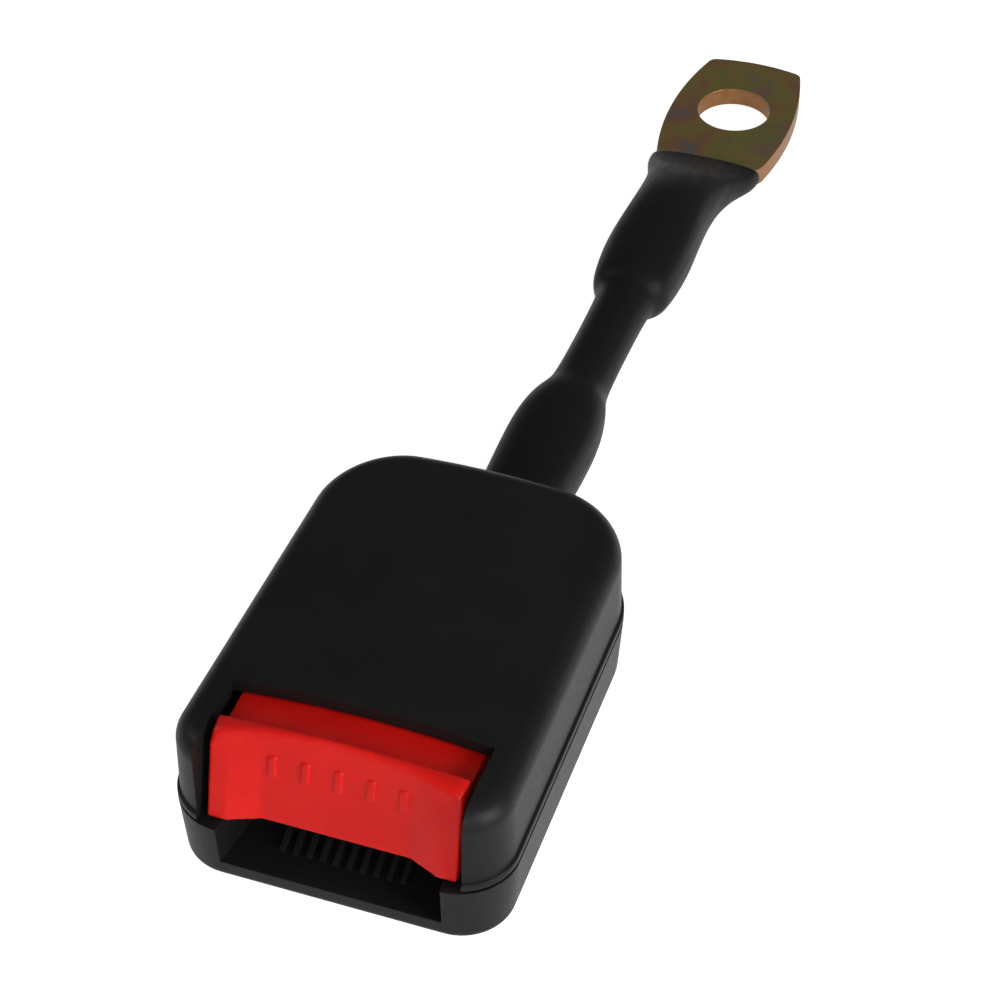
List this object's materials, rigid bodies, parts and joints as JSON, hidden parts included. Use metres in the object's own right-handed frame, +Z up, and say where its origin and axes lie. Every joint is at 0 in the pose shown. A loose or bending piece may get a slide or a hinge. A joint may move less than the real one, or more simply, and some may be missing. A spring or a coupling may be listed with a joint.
{
  "type": "seat belt buckle",
  "caption": "Seat belt buckle with a press button on its end, a two-part black casing, a sleeved wire rope stalk and a plated anchor lug with one bolt hole.",
  "frame": {"origin": "centre of the anchor lug's bolt hole, on the lug's underside", "axes": "+Z up along the bolt hole's axis, +Y along the stalk away from the casing, so that the press button and the tongue mouth face -Y"},
  "size_m": [0.0448, 0.1923, 0.0237],
  "materials": {
    "cover_plastic": "fine matte grain",
    "button_red": "satin",
    "slider_plastic": "smooth",
    "frame_steel": "zinc plated",
    "latch_steel": "hardened, zinc plated",
    "spring_steel": "bright wire",
    "rope_steel": "stranded galvanised wire",
    "sleeve_rubber": "semi-gloss heat shrink",
    "lug_plated": "yellow zinc chromate"
  },
  "bodies": {
    "casing": {"top_cover": "cover_plastic", "base_cover": "cover_plastic", "frame": "frame_steel", "guide_plate": "frame_steel", "latch_pin": "spring_steel", "pin_clip": "spring_steel", "latch_spring": "spring_steel", "button_spring_left": "spring_steel", "button_spring_right": "spring_steel", "ejector_spring": "spring_steel", "rivet_left": "spring_steel", "rivet_right": "spring_steel", "cable_terminal": "lug_plated", "wire_rope": "rope_steel", "anchor_lug": "lug_plated", "stalk_sleeve": "sleeve_rubber"},
    "button": {"press_button": "button_red", "release_slider": "slider_plastic"},
    "latch_arm": {"latch": "latch_steel"},
    "ejector_block": {"ejector": "slider_plastic"}
  },
  "joints": [
    {"name": "button_slide", "type": "slide", "parent": "casing", "child": "button", "axis": [0, 1, 0], "range_m": [0, 0.005], "stiffness_N_per_m": 600, "springref_m": -0.004, "deforming": ["button_spring_left", "button_spring_right"]},
    {"name": "latch_pivot", "type": "hinge", "parent": "casing", "child": "latch_arm", "pos_m": [0, -0.14201, 0.0134], "axis": [-1, 0, 0], "range_deg": [0, 16], "stiffness_Nm_per_rad": 0.05, "springref_deg": -17.19, "deforming": ["latch_spring"]},
    {"name": "ejector_slide", "type": "slide", "parent": "casing", "child": "ejector_block", "axis": [0, 1, 0], "range_m": [0, 0.007], "stiffness_N_per_m": 400, "springref_m": -0.004, "deforming": ["ejector_spring"]}
  ],
  "couplings": [
    {"joint": "latch_pivot", "follows": "button_slide", "rad_per_m": 55.85}
  ]
}
